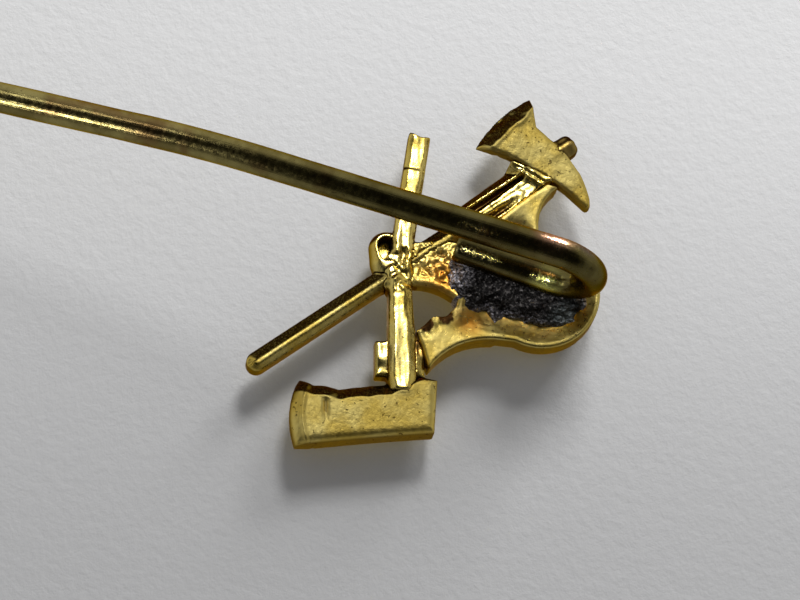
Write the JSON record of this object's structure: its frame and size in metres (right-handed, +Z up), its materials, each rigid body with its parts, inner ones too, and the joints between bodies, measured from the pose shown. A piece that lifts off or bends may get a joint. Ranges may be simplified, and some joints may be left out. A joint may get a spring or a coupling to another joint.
{
  "type": "stick pin",
  "caption": "Stick pin: a small gold-plated emblem of a helmet over crossed fire tools, on a brass wire pin with a soldered hairpin bend and a long shank.",
  "frame": {"origin": "where the two tool handles cross, on the emblem's back plane, which lies against the cloth", "axes": "+Z up as worn, along the soldered leg and towards the hairpin; the emblem faces -Y and the pin is on the +Y side"},
  "size_m": [0.014, 0.0054, 0.0529],
  "materials": {
    "gold_plate": "bright gold plate over a rough casting",
    "pin_brass": "tarnished and heat-stained brass wire",
    "solder": "dull grey-black granular solder"
  },
  "bodies": {
    "emblem": {"helmet_crown": "gold_plate", "helmet_brim": "gold_plate", "helmet_comb": "gold_plate", "pick_axe_head": "gold_plate", "pick_axe_knob": "gold_plate", "pick_axe_collar": "gold_plate", "pick_axe_handle": "gold_plate", "hatchet_head": "gold_plate", "hatchet_collar": "gold_plate", "hatchet_handle": "gold_plate", "binding_band": "gold_plate", "binding_loop": "gold_plate", "solder_joint": "solder", "pin_leg": "pin_brass", "hairpin_bend": "pin_brass"},
    "pin_stem": {"stem_top": "pin_brass", "stem_curve": "pin_brass", "shank": "pin_brass", "pin_point": "pin_brass"}
  },
  "joints": [
    {"name": "pin_flex", "type": "hinge", "parent": "emblem", "child": "pin_stem", "pos_m": [0.0011, 0.00334, 0.00453], "axis": [1, 0, 0], "range_deg": [0, 8], "stiffness_Nm_per_rad": 0.25}
  ]
}
